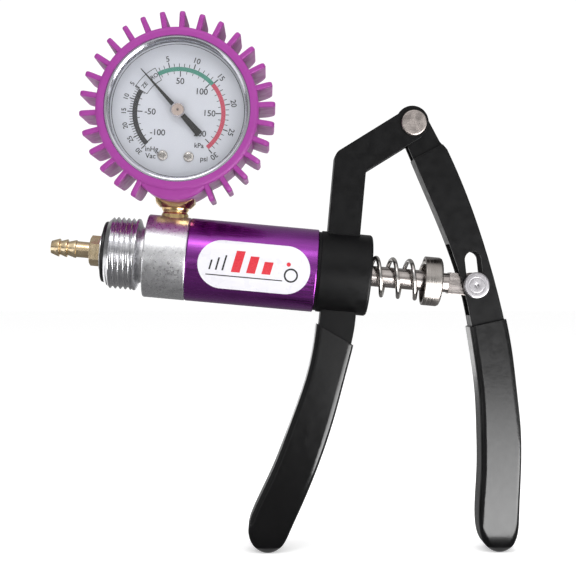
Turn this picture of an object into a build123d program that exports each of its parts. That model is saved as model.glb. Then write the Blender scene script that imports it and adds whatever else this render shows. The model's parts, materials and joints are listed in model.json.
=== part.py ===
"""Hand vacuum pump: squeeze handles, sprung piston rod, cylinder and dial gauge.

Units are millimetres.  The cylinder's axis is the X axis, with +X towards the
rod and lever, and +Z points up to the gauge.  The origin is on that axis, at
the front face of the threaded collar.
"""
from build123d import *
from math import cos, hypot, pi, radians, sin
import os

# Cylinder, along X
COLLAR_R = 13.0
COLLAR_FACE_R = 11.0
COLLAR_CHAMFER = 2.0
COLLAR_END = 11.4
NECK_R = 10.0
NECK_START = 12.45
NECK_END = 14.2
BARREL_R = 15.0
BORE_R = 13.0
TUBE_START = 29.5
TUBE_END = 75.9
SPIGOT_END = 36.5
EDGE_ROUND = 0.8
TUBE_EDGE = 0.3
LABEL_X = 53.6
LABEL_Z = -0.9
LABEL_LENGTH = 39.6
LABEL_WIDTH = 17.0
LABEL_THICK = 0.12
O_RING_SECTION = 0.88
O_RING_R = 12.1
O_RING_FLOOR = 11.2
O_RING_HALF = 1.2
HEAD_RING_X = 33.0
CAP_RING_X = 72.7

# Port, hose barb and inlet valve
THREAD_R = 4.86
PASSAGE_R = 2.5
BARB_BORE_R = 1.75
BARB_CREST_R = 3.25
BARB_ROOT_R = 2.45
BARB_SHANK_R = 2.9
BARB_TIP_X = -20.1
BARB_TIP_R = 2.3
BARB_CRESTS = (-17.1, -14.3, -11.1)
BARB_LAND = 0.3
BARB_STEP = 0.2
HEX_START = -6.0
HEX_END = -2.0
HEX_FLATS = 9.6
HEX_CHAMFER = 0.5
HEX_DOME = 1.0
HEX_TURN = 24.5
STUD_END = 9.0
GASKET_START = -1.2
GASKET_EDGE = 0.4
WASHER_R = 7.4
VALVE_SEAT = 26.5
VALVE_GAP = 0.05
VALVE_R = 3.6
VALVE_DISC = 2.0
VALVE_STEM_R = 1.5
VALVE_STEM_END = 31.0
VALVE_CHAMBER_R = 4.2
RETAINER_START = 33.0
RETAINER_R = 5.0
RETAINER_HOLE_R = 1.8
VALVE_SPRING_R = 2.6
VALVE_SPRING_WIRE = 0.25
VALVE_SPRING_PITCH = 1.1

# Rear cap and rod
CAP_START = 77.0
CAP_END = 95.3
CAP_R = 14.7
CAP_GROOVE_R = 14.3
CAP_ROUND = 1.0
CAP_SPIGOT_START = 69.0
SEAT_X = 92.8
SEAT_R = 8.1
ROD_R = 3.75
ROD_FIT = 0.05
ROD_CLEARANCE = 0.45
BUSH_R = 6.0
ROD_END = 121.9
STUB_R = 3.5
TONGUE_START = 124.2
TONGUE_HALF_HEIGHT = 3.85
TONGUE_HALF_WIDTH = 3.0
CUP_START = 115.0
CUP_END = 121.5
CUP_R = 8.9
CUP_WALL = 1.0
CUP_FLOOR = 2.0
CUP_ROUND = 1.2
CUP_RIM_EDGE = 0.2
CUP_SHOULDER = (0.35, 0.3)

# Piston
STROKE = 17.0
PISTON_GAP = 0.7
PISTON_FACE = SPIGOT_END + STROKE + PISTON_GAP
PISTON_LENGTH = 9.0
PISTON_BACK = PISTON_FACE + PISTON_LENGTH
PISTON_R = 12.7
SEAL_R = 12.95
SEAL_FLOOR_R = 10.5
SEAL_WIDTH = 2.0
SEAL_OFFSETS = (1.4, 5.6)
SCREW_R = 2.5
SCREW_PAST_NUT = 0.5
NUT_FLATS = 8.0
NUT_THICK = 3.2
NUT_RECESS = 4.0
NUT_RECESS_R = 5.5
VENT_RING_R = 8.5
VENT_R = 1.0
VENT_COUNT = 4
VENT_START = 45.0
DISC_R = 11.0
DISC_THICK = 0.7
DISC_HOLE_R = 3.9
EXHAUST_LIFT = 1.0
KEEPER_R = 6.0
KEEPER_THICK = 1.0

# Return spring
SPRING_WIRE_R = 0.8
SPRING_R = 6.75
SPRING_PITCH = 6.1

# Handles, folded from sheet; pairs are (X, Z)
SHEET = 1.2
CHANNEL_HALF = 5.2
JOGGLE_HALF = 3.9
JOGGLE_BAND = 1.3
PIVOT = (106.0, 56.1)
ROD_PIN = (133.7, 0.0)
ARM_ANGLE = 37.0
ARM_HALF = 5.75
ARM_HEAD = (105.5, 56.4)
ARM_HEAD_R = 5.9
ARM_WEB_STOP = 8.5
ARM_WEB_GAP = 9.0
ARM_OVERLAP_Z = -6.0
KNEE_OUTER = 4.0
KNEE_INNER = 1.0
STRAP_LEFT = 78.9
STRAP_RIGHT = 90.5
FIXED_WEB_SHIFT = (1.2, -0.6)
WEB_DROPS = (0.0, -2.0)
FIXED_LOWER = [
    (STRAP_LEFT, -3.0), (78.8, -16.0), (77.3, -36.0), (73.0, -54.0), (67.6, -73.0), (62.2, -88.0),
    (60.9, -94.8), (63.2, -100.1), (67.5, -101.8), (71.5, -99.8), (74.0, -94.6),
    (76.3, -88.0), (81.6, -71.5), (86.1, -53.0), (89.4, -34.0), (91.4, -20.0), (STRAP_RIGHT, -5.0)]
FIXED_GRIP_TOP = ((78.4, -19.2), (90.8, -25.1))
LEVER_TIP_R = 5.4
LEVER_TIP_ANGLE = 30.0
LEVER_BUMP = (116.1, 50.5)
LEVER_BAR = [
    (101.6, 53.6), (107.4, 42.9), (114.9, 29.1), (122.1, 15.4), (130.9, -5.6), (135.9, -23.8),
    (139.1, -38.0), (141.1, -52.3), (142.5, -66.6), (143.1, -81.0), (144.1, -87.8), (146.4, -92.4),
    (150.6, -94.2), (154.5, -92.3), (156.1, -87.6), (156.0, -81.0), (155.2, -64.8), (153.8, -50.5),
    (151.1, -36.3), (148.0, -22.1), (142.7, -4.6), (136.1, 12.9), (128.4, 30.2), (118.9, 47.8)]
LEVER_GRIP_TOP = ((131.3, -15.6), (145.5, -11.1))
LEVER_WEB_SHIFT = (1.14, 0.415)
JOGGLE_LINE = ((106.9, 43.0), (119.1, 50.7))
ROD_WINDOW_X = (110.0, 145.0)
ROD_WINDOW_Z = (-11.0, 14.0)
SLOT_R = 3.0
SLOT_TILT = 11.6
SLOT_UP = 9.3
SLOT_DOWN = 0.5
GRIP_WALL = 0.9
GRIP_HALF = 6.5
GRIP_ROUND = 2.2
PIVOT_PIN_R = 3.0
PIVOT_FIT = 0.05
PIVOT_HEAD_R = 4.6
ROD_PIN_R = 2.5
ROD_PIN_HEAD_R = 4.7
PIN_HEAD = 1.7
PIN_ROUND = 0.5
PIN_GAP = 0.1
PIN_TAIL = 1.4
CLIP_THICK = 1.0

# Gauge, built upright about its own centre with its axis along Y
PORT_X = 23.3
PORT_DEPTH = 6.5
PORT_HOLE_R = 1.5
GAUGE_HEIGHT = 36.7
GAUGE_LEAN = -2.0
BEZEL_R = 26.5
BEZEL_HOLE_R = 23.9
BEZEL_FRONT = -17.3
BEZEL_BACK = -12.5
BEZEL_ROUND = 0.6
WINDOW_FRONT = -16.0
WINDOW_BACK = -14.4
CASE_R = 25.0
CASE_WALL = 0.8
CASE_BACK = 8.8
DIAL_R = 24.1
DIAL_FRONT = -11.5
DIAL_THICK = 0.5
DIAL_HOLE_R = 1.2
DIAL_SCREW = (4.6, -16.1)
DIAL_SCREW_R = 1.0
DIAL_SCREW_HEAD_R = 1.8
DIAL_SCREW_HEAD = 0.8
DIAL_SLOT_HALF = 0.25
DIAL_SLOT_FLOOR = 0.5
BLOCK_HALF = 7.0
BLOCK_DEPTH_HALF = 6.0
BLOCK_BOTTOM = -33.7
BLOCK_TOP = -24.0
BLOCK_FACE_R = 5.6
BLOCK_ROOM = 3.0
SOCKET_SHOULDER = 0.6
SOCKET_OVERLAP = 1.0
NECK_WAIST_R = 4.3
HOLDER_HALF = 5.0
HOLDER_TOP = -14.0
FRAME_FRONT = (-9.4, -8.6)
FRAME_BACK = (-3.4, -2.6)
FRAME_SPAN = (-8.0, 12.5)
FRAME_RISE = (-19.0, 6.0)
PILLARS = ((-5.0, -4.0), (-5.0, 3.5), (11.2, 4.8), (-5.0, -16.0))
PILLAR_R = 1.0
POST_R = 2.0
POINTER_TIP = 19.4
POINTER_TAIL = 11.5
POINTER_HALF_WIDTHS = (0.15, 0.8, 1.3)
POINTER_BOSS_R = 1.9
POINTER_FRONT = -13.35
POINTER_THICK = 0.35
POINTER_REST = 45.0
HUB_R = 2.6
HUB_THICK = 0.7
HUB_EDGE = 0.3
SHAFT_R = 0.6
SECTOR_SHAFT_R = 0.8
SHAFT_FIT = 0.05
SHAFT_PAST_FRAME = 0.5
PINION_R = 1.8
PINION_SPAN = (-7.0, -4.5)
SECTOR_SPAN = (-6.2, -5.2)
SECTOR_RATIO = 6.0
GEAR_GAP = 0.06
SECTOR_AT = -35.0
SECTOR_SWEEP = (-37.0, 22.0)
SECTOR_HUB_R = 1.8
SECTOR_TAIL = 5.0
SECTOR_TAIL_HALF = 1.1
TUBE_SPAN = (1.0, 5.8)
TUBE_ARC_R = (19.7, 21.3)
TUBE_FROM = -106.0
TUBE_TO = -20.0
LINK_SPAN = (-1.6, -1.0)
LINK_BELOW_TIP = 1.2
LINK_HALF = 0.8
HAIRSPRING_SPAN = (-8.2, -7.7)
HAIRSPRING_START = 1.0
HAIRSPRING_GROWTH = 0.55
HAIRSPRING_TURNS = 4
HAIRSPRING_THICK = 0.15
HAIRSPRING_STEPS = 8
BOOT_R = 28.5
BOOT_LIP_R = 25.6
BOOT_BACK_HOLE_R = 19.0
BOOT_FRONT = -18.0
BOOT_BACK = 10.0
BOOT_ROUND = 1.5
CHIN_R = 16.0
CHIN_Z = -15.9
CHIN_FRONT = -17.0
FIN_TIP_R = 34.3
FIN_PLACES = 30
FIN_MISSING = 1
FIN_THICK = 1.9
FIN_FRONT = -17.2
FIN_BACK = 9.4
FIN_FRONT_ROUND = 2.0
FIN_BACK_ROUND = 5.0
FIN_EDGE = 0.6
FIN_OVERLAP = 1.0


# ---------------------------------------------------------------------- helpers
def flat(points):
    """Closed straight-sided outline in the XZ plane."""
    return make_face(Polyline(*[(x, 0, z) for x, z in points], close=True).edges())


def round_xz(centre, radius):
    """Round outline in the XZ plane."""
    return Pos(centre[0], 0, centre[1]) * (Plane.XZ * Circle(radius))


def smooth(points):
    """Outline in the XZ plane: one smooth curve through the points, closed by a line."""
    curve = Spline(*[(x, 0, z) for x, z in points])
    return make_face([curve.edge(), Line(curve @ 1, curve @ 0).edge()])


def grown(points, amount):
    """The same open curve, moved outwards; it runs down its left side and up its right."""
    moved = []
    for index, (x, z) in enumerate(points):
        before = points[max(index - 1, 0)]
        after = points[min(index + 1, len(points) - 1)]
        dx, dz = after[0] - before[0], after[1] - before[1]
        length = hypot(dx, dz)
        moved.append((x + amount * dz / length, z - amount * dx / length))
    return moved


def slab(faces, low_y, high_y):
    """Solid between two Y values of one XZ outline, or of several that overlap."""
    if not isinstance(faces, list):
        faces = [faces]
    solids = [extrude(face, amount=high_y - low_y, dir=(0, 1, 0)) for face in faces]
    return Pos(0, low_y, 0) * (solids[0].fuse(*solids[1:]) if solids[1:] else solids[0])


def turned_x(points):
    """Solid turned about X from (x, radius) points."""
    return revolve(make_face(Polyline(*[(x, r, 0) for x, r in points], close=True).edges()), Axis.X)


def turned_y(points):
    """Solid turned about Y from (y, radius) points."""
    return revolve(make_face(Polyline(*[(r, y, 0) for y, r in points], close=True).edges()), Axis.Y)


def turned_z(points):
    """Solid turned about Z from (z, radius) points."""
    return revolve(make_face(Polyline(*[(r, 0, z) for z, r in points], close=True).edges()), Axis.Z)


def ring_x(start, end, outer, inner):
    return turned_x([(start, inner), (start, outer), (end, outer), (end, inner)])


def ring_y(start, end, outer, inner):
    return turned_y([(start, inner), (start, outer), (end, outer), (end, inner)])


def rod_x(start, end, radius, y=0.0, z=0.0):
    return Pos((start + end) / 2, y, z) * Rot(0, 90, 0) * Cylinder(radius, end - start)


def rod_y(start, end, radius, x=0.0, z=0.0):
    return Pos(x, (start + end) / 2, z) * Rot(90, 0, 0) * Cylinder(radius, end - start)


def rod_z(start, end, radius):
    return Pos(0, 0, (start + end) / 2) * Cylinder(radius, end - start)


def block(x_span, y_span, z_span):
    middle = [(low + high) / 2 for low, high in (x_span, y_span, z_span)]
    size = [high - low for low, high in (x_span, y_span, z_span)]
    return Pos(*middle) * Box(*size)


def hexagon_x(start, end, flats, turn):
    """Hexagonal prism along X, with one corner turned up from -Y by an angle."""
    outline = Plane.YZ * Rot(0, 0, 180 - turn) * RegularPolygon(flats / 2 / cos(pi / 6), 6)
    return Pos(start, 0, 0) * extrude(outline, amount=end - start, dir=(1, 0, 0))


def o_ring(x):
    return Pos(x, 0, 0) * Rot(0, 90, 0) * Torus(O_RING_R, O_RING_SECTION)


def coil_x(start, end, radius, wire_r, pitch):
    """Open coil of round wire about X, from one X value to another."""
    path = Helix(pitch, end - start, radius, center=(start, 0, 0), direction=(1, 0, 0))
    section = Plane(path @ 0, z_dir=path % 0) * Circle(wire_r)
    return sweep(section, path, is_frenet=True)


def along(origin, angle, distance, side=0.0):
    """Point at a distance along a direction in the XZ plane, and to the left of it."""
    turn = radians(angle)
    x = origin[0] + distance * cos(turn) - side * sin(turn)
    z = origin[1] + distance * sin(turn) + side * cos(turn)
    return (x, z)


def on_gauge(shape):
    """Place a shape that is built about the gauge's own centre."""
    port = Pos(PORT_X, 0, BARREL_R)
    return port * Rot(0, GAUGE_LEAN, 0) * Pos(0, 0, GAUGE_HEIGHT) * shape


# --------------------------------------------------------------- cylinder parts
def hose_barb():
    profile = [(STUD_END, 0), (BARB_TIP_X, 0), (BARB_TIP_X, BARB_TIP_R)]
    for crest in BARB_CRESTS:
        after = BARB_SHANK_R if crest == BARB_CRESTS[-1] else BARB_ROOT_R
        profile += [(crest - BARB_LAND, BARB_CREST_R), (crest, BARB_CREST_R), (crest + BARB_STEP, after)]
    profile += [(HEX_END, BARB_SHANK_R), (HEX_END, THREAD_R), (STUD_END, THREAD_R)]
    flats_r = HEX_FLATS / 2
    dome = turned_x([(HEX_START, 0), (HEX_START, flats_r), (HEX_START + HEX_CHAMFER, flats_r + HEX_DOME),
                     (HEX_END, flats_r + HEX_DOME), (HEX_END, 0)])
    nut = hexagon_x(HEX_START, HEX_END, HEX_FLATS, HEX_TURN) & dome
    return turned_x(profile) + nut - rod_x(BARB_TIP_X, STUD_END, BARB_BORE_R)


def barb_washer():
    return ring_x(HEX_END, 0, WASHER_R, THREAD_R)


def front_gasket():
    return turned_x([
        (0, WASHER_R), (GASKET_START, WASHER_R), (GASKET_START, COLLAR_FACE_R - GASKET_EDGE),
        (GASKET_START + GASKET_EDGE, COLLAR_FACE_R), (0, COLLAR_FACE_R)])


def ring_groove(x):
    return ring_x(x - O_RING_HALF, x + O_RING_HALF, BORE_R, O_RING_FLOOR)


def cylinder_head():
    outer = turned_x([
        (0, 0), (0, COLLAR_FACE_R), (COLLAR_CHAMFER, COLLAR_R), (COLLAR_END, COLLAR_R),
        (NECK_START, NECK_R), (NECK_END, NECK_R), (NECK_END, BARREL_R - EDGE_ROUND),
        (NECK_END + EDGE_ROUND, BARREL_R), (TUBE_START, BARREL_R), (TUBE_START, BORE_R),
        (SPIGOT_END, BORE_R), (SPIGOT_END, 0)])
    bore = rod_x(0, STUD_END, THREAD_R)
    bore += rod_x(STUD_END, VALVE_SEAT, PASSAGE_R)
    bore += rod_x(VALVE_SEAT, RETAINER_START, VALVE_CHAMBER_R)
    bore += rod_x(RETAINER_START, SPIGOT_END, RETAINER_R)
    socket_end = -GAUGE_HEIGHT - PORT_DEPTH
    axis_z = -GAUGE_HEIGHT - BARREL_R
    port = on_gauge(rod_z(socket_end, -GAUGE_HEIGHT + 1, THREAD_R))
    port += on_gauge(rod_z(axis_z, socket_end, PORT_HOLE_R))
    return outer - bore - port - ring_groove(HEAD_RING_X)


def valve_retainer():
    return ring_x(RETAINER_START, SPIGOT_END, RETAINER_R, RETAINER_HOLE_R)


def inlet_valve():
    start = VALVE_SEAT + VALVE_GAP
    return rod_x(start, start + VALVE_DISC, VALVE_R) + rod_x(start, VALVE_STEM_END, VALVE_STEM_R)


def inlet_valve_spring():
    start = VALVE_SEAT + VALVE_GAP + VALVE_DISC + VALVE_SPRING_WIRE
    end = RETAINER_START - VALVE_SPRING_WIRE
    return coil_x(start, end, VALVE_SPRING_R, VALVE_SPRING_WIRE, VALVE_SPRING_PITCH)


def barrel_tube():
    return turned_x([
        (TUBE_START, BORE_R), (TUBE_START, BARREL_R - TUBE_EDGE), (TUBE_START + TUBE_EDGE, BARREL_R),
        (TUBE_END - TUBE_EDGE, BARREL_R), (TUBE_END, BARREL_R - TUBE_EDGE), (TUBE_END, BORE_R)])


def barrel_label():
    half = LABEL_LENGTH / 2
    skin = ring_x(LABEL_X - half, LABEL_X + half, BARREL_R + LABEL_THICK, BARREL_R)
    pill = Plane.XZ * Pos(LABEL_X, LABEL_Z) * SlotOverall(LABEL_LENGTH, LABEL_WIDTH)
    return skin & extrude(pill, amount=BARREL_R + 1, dir=(0, -1, 0))


def rear_cap():
    outer = turned_x([
        (CAP_SPIGOT_START, 0), (CAP_SPIGOT_START, BORE_R), (TUBE_END, BORE_R),
        (TUBE_END, CAP_GROOVE_R), (CAP_START, CAP_GROOVE_R), (CAP_START, CAP_R),
        (CAP_END, CAP_R), (CAP_END, 0)])
    rim = outer.edges().filter_by(GeomType.CIRCLE).sort_by(Axis.X)[-1]
    outer = fillet(rim, CAP_ROUND)
    bore = rod_x(CAP_SPIGOT_START, STRAP_LEFT, BUSH_R)
    bore += rod_x(STRAP_LEFT, SEAT_X, ROD_R + ROD_CLEARANCE)
    bore += rod_x(SEAT_X, CAP_END, SEAT_R)
    slot = slab(fixed_outline(), -CHANNEL_HALF, CHANNEL_HALF)
    return outer - bore - slot - ring_groove(CAP_RING_X)


def rod_bush():
    return ring_x(CAP_SPIGOT_START, STRAP_LEFT, BUSH_R, ROD_R + ROD_FIT)


# ------------------------------------------------------------- rod and piston
def piston_rod():
    rod = rod_x(PISTON_FACE + NUT_RECESS - NUT_THICK - SCREW_PAST_NUT, PISTON_BACK, SCREW_R)
    rod += rod_x(PISTON_BACK, ROD_END, ROD_R) + rod_x(ROD_END, TONGUE_START, STUB_R)
    tongue = block((TONGUE_START, ROD_PIN[0]), (-TONGUE_HALF_WIDTH, TONGUE_HALF_WIDTH),
                   (-TONGUE_HALF_HEIGHT, TONGUE_HALF_HEIGHT))
    tongue += rod_y(-TONGUE_HALF_WIDTH, TONGUE_HALF_WIDTH, TONGUE_HALF_HEIGHT, *ROD_PIN)
    return rod + tongue - rod_y(-TONGUE_HALF_WIDTH, TONGUE_HALF_WIDTH, ROD_PIN_R, *ROD_PIN)


def seal_ring(offset, outer):
    start = PISTON_FACE + offset
    return ring_x(start, start + SEAL_WIDTH, outer, SEAL_FLOOR_R)


def piston():
    body = rod_x(PISTON_FACE, PISTON_BACK, PISTON_R)
    body -= rod_x(PISTON_FACE, PISTON_BACK, SCREW_R)
    body -= rod_x(PISTON_FACE, PISTON_FACE + NUT_RECESS, NUT_RECESS_R)
    for offset in SEAL_OFFSETS:
        body -= seal_ring(offset, PISTON_R)
    for number in range(VENT_COUNT):
        spot = radians(VENT_START + 360 / VENT_COUNT * number)
        body -= rod_x(PISTON_FACE, PISTON_BACK, VENT_R,
                      VENT_RING_R * cos(spot), VENT_RING_R * sin(spot))
    return body


def piston_seals():
    return Compound([seal_ring(offset, SEAL_R).solid() for offset in SEAL_OFFSETS])


def piston_nut():
    end = PISTON_FACE + NUT_RECESS
    nut = hexagon_x(end - NUT_THICK, end, NUT_FLATS, 0)
    return nut - rod_x(end - NUT_THICK, end, SCREW_R)


def exhaust_valve():
    start = PISTON_BACK + VALVE_GAP
    return ring_x(start, start + DISC_THICK, DISC_R, DISC_HOLE_R)


def exhaust_keeper():
    start = PISTON_BACK + 2 * VALVE_GAP + DISC_THICK + EXHAUST_LIFT
    return ring_x(start, start + KEEPER_THICK, KEEPER_R, ROD_R)


def spring_cup():
    in_x, in_r = (share * CUP_ROUND for share in CUP_SHOULDER)
    return turned_x([
        (CUP_START, CUP_R - CUP_WALL), (CUP_START, CUP_R - CUP_RIM_EDGE), (CUP_START + CUP_RIM_EDGE, CUP_R),
        (CUP_END - CUP_ROUND, CUP_R), (CUP_END - in_x, CUP_R - in_r),
        (CUP_END, CUP_R - CUP_ROUND), (CUP_END, ROD_R), (CUP_END - CUP_FLOOR, ROD_R),
        (CUP_END - CUP_FLOOR, CUP_R - CUP_WALL)])


def return_spring():
    start = SEAT_X + SPRING_WIRE_R
    end = CUP_END - CUP_FLOOR - SPRING_WIRE_R
    return coil_x(start, end, SPRING_R, SPRING_WIRE_R, SPRING_PITCH)


# --------------------------------------------------------------------- handles
def arm_edge(side):
    """Two ends of one edge of the slanted arm: at the strap, and beside the pivot."""
    strap_x = STRAP_LEFT if side > 0 else STRAP_RIGHT
    end = along(PIVOT, ARM_ANGLE, 0, side * ARM_HALF)
    reach = (strap_x - end[0]) / cos(radians(ARM_ANGLE))
    return along(end, ARM_ANGLE, reach), end


def fixed_outline():
    knee_left, end_left = arm_edge(1)
    knee_right, end_right = arm_edge(-1)
    upper = flat([knee_left, end_left, end_right, knee_right,
                  (STRAP_RIGHT, ARM_OVERLAP_Z), (STRAP_LEFT, ARM_OVERLAP_Z)])
    for knee, radius in ((knee_left, KNEE_OUTER), (knee_right, KNEE_INNER)):
        corner = upper.vertices().sort_by_distance((knee[0], 0, knee[1]))[0]
        upper = fillet(corner, radius)
    return [upper, round_xz(ARM_HEAD, ARM_HEAD_R), smooth(FIXED_LOWER)]


def fixed_handle():
    outline = fixed_outline()
    inner_half = CHANNEL_HALF - SHEET
    channel = slab(outline, -CHANNEL_HALF, CHANNEL_HALF)
    for drop in WEB_DROPS:
        shift = Pos(FIXED_WEB_SHIFT[0], 0, FIXED_WEB_SHIFT[1] + drop)
        channel -= shift * slab(outline, -inner_half, inner_half)
    gap = ARM_WEB_GAP
    corners = ((-ARM_WEB_STOP, -gap), (gap, -gap), (gap, gap), (-ARM_WEB_STOP, gap))
    around_pivot = [along(PIVOT, ARM_ANGLE, reach, side) for reach, side in corners]
    channel -= slab(flat(around_pivot), -inner_half, inner_half)
    channel -= rod_y(-CHANNEL_HALF, CHANNEL_HALF, PIVOT_PIN_R, *PIVOT)
    return channel - rod_x(STRAP_LEFT - 1, STRAP_RIGHT, ROD_R + ROD_CLEARANCE)


def below(line, depth=170.0, reach=40.0):
    """Outline of everything below a sloping line."""
    (x1, z1), (x2, z2) = line
    slope = (z2 - z1) / (x2 - x1)
    left, right = x1 - reach, x2 + reach
    return flat([(left, z1 - slope * reach), (right, z2 + slope * reach),
                 (right, z1 - depth), (left, z1 - depth)])


def grip(bar, top_line):
    """Dipped grip: a skin of even thickness round the strap, below a sloping line."""
    body = slab(smooth(grown(bar, GRIP_WALL)), -GRIP_HALF, GRIP_HALF)
    body &= slab(below(top_line), -GRIP_HALF, GRIP_HALF)
    faces = body.faces().sort_by(Axis.Y)
    rims = (faces[0].edges() + faces[-1].edges()).filter_by(GeomType.LINE, reverse=True)
    body = fillet(rims, GRIP_ROUND)
    return body - slab(smooth(bar), -CHANNEL_HALF, CHANNEL_HALF)


def fixed_grip():
    return grip(FIXED_LOWER, FIXED_GRIP_TOP)


def lever_outline():
    tip_top = (PIVOT[0], PIVOT[1] + LEVER_TIP_R)
    tip_side = along(PIVOT, LEVER_TIP_ANGLE, LEVER_TIP_R)
    shoulder = flat([tip_top, tip_side, LEVER_BUMP, LEVER_BAR[-1], LEVER_BAR[1], PIVOT])
    return [smooth(LEVER_BAR), round_xz(PIVOT, LEVER_TIP_R), shoulder]


def lever_slab(half):
    return slab(lever_outline(), -half, half)


def lever():
    """Channel with its web towards the cylinder, and two joggled ears at the pivot."""
    inner_half = CHANNEL_HALF - SHEET
    ear_inner = JOGGLE_HALF - SHEET
    under_joggle = slab(below(JOGGLE_LINE), -CHANNEL_HALF, CHANNEL_HALF)
    under_band = Pos(0, 0, -JOGGLE_BAND) * under_joggle
    wide = lever_slab(CHANNEL_HALF) & under_joggle
    channel = wide
    for drop in WEB_DROPS:
        shift = Pos(LEVER_WEB_SHIFT[0], 0, LEVER_WEB_SHIFT[1] + drop)
        channel -= shift * lever_slab(inner_half)
    channel -= block(ROD_WINDOW_X, (-inner_half, inner_half), ROD_WINDOW_Z)
    ears = lever_slab(JOGGLE_HALF) - lever_slab(ear_inner) - under_band
    band = wide - under_band - lever_slab(ear_inner)
    body = channel + ears + band
    body -= rod_y(-CHANNEL_HALF, CHANNEL_HALF, PIVOT_PIN_R + PIVOT_FIT, *PIVOT)
    return body - slab(pin_slot(), -CHANNEL_HALF, CHANNEL_HALF)


def pin_slot():
    up = 90 + SLOT_TILT
    top = along(ROD_PIN, up, SLOT_UP)
    bottom = along(ROD_PIN, up, -SLOT_DOWN)
    sides = [along(bottom, up, 0, SLOT_R), along(bottom, up, 0, -SLOT_R),
             along(top, up, 0, -SLOT_R), along(top, up, 0, SLOT_R)]
    return [flat(sides), round_xz(top, SLOT_R), round_xz(bottom, SLOT_R)]


def lever_grip():
    return grip(LEVER_BAR, LEVER_GRIP_TOP)


def headed_pin(place, head_r, shank_r, face):
    """Round pin along Y with its head on the near side and a short tail on the far side."""
    pin = rod_y(face - PIN_HEAD, face, head_r, *place)
    rim = pin.edges().filter_by(GeomType.CIRCLE).sort_by(Axis.Y)[0]
    pin = fillet(rim, PIN_ROUND)
    return pin + rod_y(face, CHANNEL_HALF + PIN_TAIL, shank_r, *place)


def pivot_pin():
    return headed_pin(PIVOT, PIVOT_HEAD_R, PIVOT_PIN_R, -CHANNEL_HALF)


def rod_pin():
    return headed_pin(ROD_PIN, ROD_PIN_HEAD_R, ROD_PIN_R, -CHANNEL_HALF - PIN_GAP)


def clip(place, radius, hole_r, face):
    washer = rod_y(face, face + CLIP_THICK, radius, *place)
    return washer - rod_y(face, face + CLIP_THICK, hole_r, *place)


def pivot_clip():
    return clip(PIVOT, PIVOT_HEAD_R, PIVOT_PIN_R, CHANNEL_HALF)


def rod_pin_clip():
    return clip(ROD_PIN, ROD_PIN_HEAD_R, ROD_PIN_R, CHANNEL_HALF + PIN_GAP)


# ----------------------------------------------------------------------- gauge
def socket_block():
    square = block((-BLOCK_HALF, BLOCK_HALF), (-BLOCK_DEPTH_HALF, BLOCK_DEPTH_HALF),
                   (BLOCK_BOTTOM, BLOCK_TOP))
    rise = BLOCK_TOP - BLOCK_BOTTOM
    cone = turned_z([(BLOCK_BOTTOM, 0), (BLOCK_BOTTOM, BLOCK_FACE_R),
                     (BLOCK_TOP, BLOCK_FACE_R + rise), (BLOCK_TOP, 0)])
    return square & cone


def gauge_socket():
    surface = -GAUGE_HEIGHT
    waist = (surface + BLOCK_BOTTOM) / 2
    stem = turned_z([
        (surface - PORT_DEPTH, PORT_HOLE_R), (surface - PORT_DEPTH, THREAD_R),
        (surface + SOCKET_SHOULDER, THREAD_R), (waist, NECK_WAIST_R),
        (BLOCK_BOTTOM - SOCKET_SHOULDER, THREAD_R), (BLOCK_BOTTOM + SOCKET_OVERLAP, THREAD_R),
        (BLOCK_BOTTOM + SOCKET_OVERLAP, PORT_HOLE_R)])
    holder = block((-HOLDER_HALF, HOLDER_HALF), (FRAME_BACK[1], TUBE_SPAN[1]),
                   (BLOCK_TOP - SOCKET_OVERLAP, HOLDER_TOP))
    return stem + socket_block() + holder - rod_z(surface - PORT_DEPTH, BLOCK_TOP, PORT_HOLE_R)


def block_opening():
    return block((-BLOCK_HALF, BLOCK_HALF), (-BLOCK_DEPTH_HALF, BLOCK_DEPTH_HALF),
                 (BLOCK_BOTTOM, BLOCK_TOP + BLOCK_ROOM))


def gauge_case():
    shell = rod_y(WINDOW_BACK, CASE_BACK, CASE_R)
    shell -= rod_y(WINDOW_BACK, CASE_BACK - CASE_WALL, CASE_R - CASE_WALL)
    return shell - block_opening()


def gauge_bezel():
    profile = [(BEZEL_BACK, CASE_R), (BEZEL_BACK, BEZEL_R), (BEZEL_FRONT, BEZEL_R),
               (BEZEL_FRONT, BEZEL_HOLE_R), (WINDOW_FRONT, BEZEL_HOLE_R), (WINDOW_FRONT, CASE_R)]
    ring = turned_y(profile)
    front = ring.faces().sort_by(Axis.Y)[0]
    return fillet(front.edges(), BEZEL_ROUND)


def gauge_window():
    return rod_y(WINDOW_FRONT, WINDOW_BACK, CASE_R)


def gauge_dial():
    dial = rod_y(DIAL_FRONT, DIAL_FRONT + DIAL_THICK, DIAL_R)
    dial -= rod_y(DIAL_FRONT, DIAL_FRONT + DIAL_THICK, DIAL_HOLE_R)
    for side in (-1, 1):
        dial -= rod_y(DIAL_FRONT, DIAL_FRONT + DIAL_THICK, DIAL_SCREW_R, side * DIAL_SCREW[0], DIAL_SCREW[1])
    return dial


def dial_screws():
    screws = []
    slot_reach = 2 * DIAL_SCREW_HEAD_R
    slot = block((-slot_reach, slot_reach), (DIAL_FRONT - 2 * DIAL_SLOT_FLOOR, DIAL_FRONT - DIAL_SLOT_FLOOR),
                 (-DIAL_SLOT_HALF, DIAL_SLOT_HALF))
    for side in (-1, 1):
        place = (side * DIAL_SCREW[0], DIAL_SCREW[1])
        screw = rod_y(DIAL_FRONT - DIAL_SCREW_HEAD, DIAL_FRONT, DIAL_SCREW_HEAD_R, *place)
        screw += rod_y(DIAL_FRONT, FRAME_FRONT[0], DIAL_SCREW_R, *place)
        screws.append((screw - Pos(place[0], 0, place[1]) * slot).solid())
    return Compound(screws)


def sector_pivot():
    return along((0, 0), SECTOR_AT, PINION_R * (1 + SECTOR_RATIO))


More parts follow.
